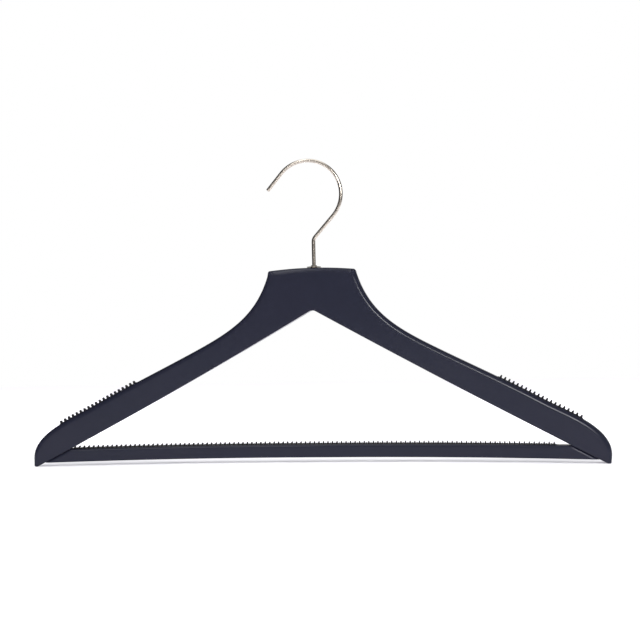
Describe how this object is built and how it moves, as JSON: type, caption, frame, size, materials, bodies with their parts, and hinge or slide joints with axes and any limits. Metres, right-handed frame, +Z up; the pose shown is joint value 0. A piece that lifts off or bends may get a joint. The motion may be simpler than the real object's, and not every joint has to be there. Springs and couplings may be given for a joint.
{
  "type": "wooden hanger",
  "caption": "Wide dark-painted wooden suit hanger, its arms swept forward, with a swivelling wire hook, a trouser bar and toothed rubber grip strips.",
  "frame": {"origin": "the point inside the top of the hook that rests on the rail", "axes": "+X along the span towards the right arm, +Y towards the back, +Z up"},
  "size_m": [0.4484, 0.0326, 0.2406],
  "materials": {
    "painted_wood": "matt dark blue-grey paint",
    "black_rubber": "matt moulded rubber",
    "nickel_wire": "satin nickel plate",
    "brass": "turned",
    "bare_steel": "zinc plate",
    "bare_wood": "unpainted"
  },
  "bodies": {
    "hook": {"hook": "nickel_wire", "hook_thrust_washer": "bare_steel"},
    "hanger_body": {"left_arm": "painted_wood", "right_arm": "painted_wood", "trouser_bar": "painted_wood", "bar_grip_strip": "black_rubber", "left_shoulder_strip": "black_rubber", "right_shoulder_strip": "black_rubber", "neck_washer": "nickel_wire", "hook_bushing": "brass", "left_bar_dowel": "bare_wood", "right_bar_dowel": "bare_wood", "left_bar_screw": "bare_steel", "right_bar_screw": "bare_steel"}
  },
  "joints": [
    {"name": "hook_swivel", "type": "hinge", "parent": "hook", "child": "hanger_body", "pos_m": [0.0042, 0, -0.0845], "axis": [0, 0, 1], "continuous": true}
  ]
}
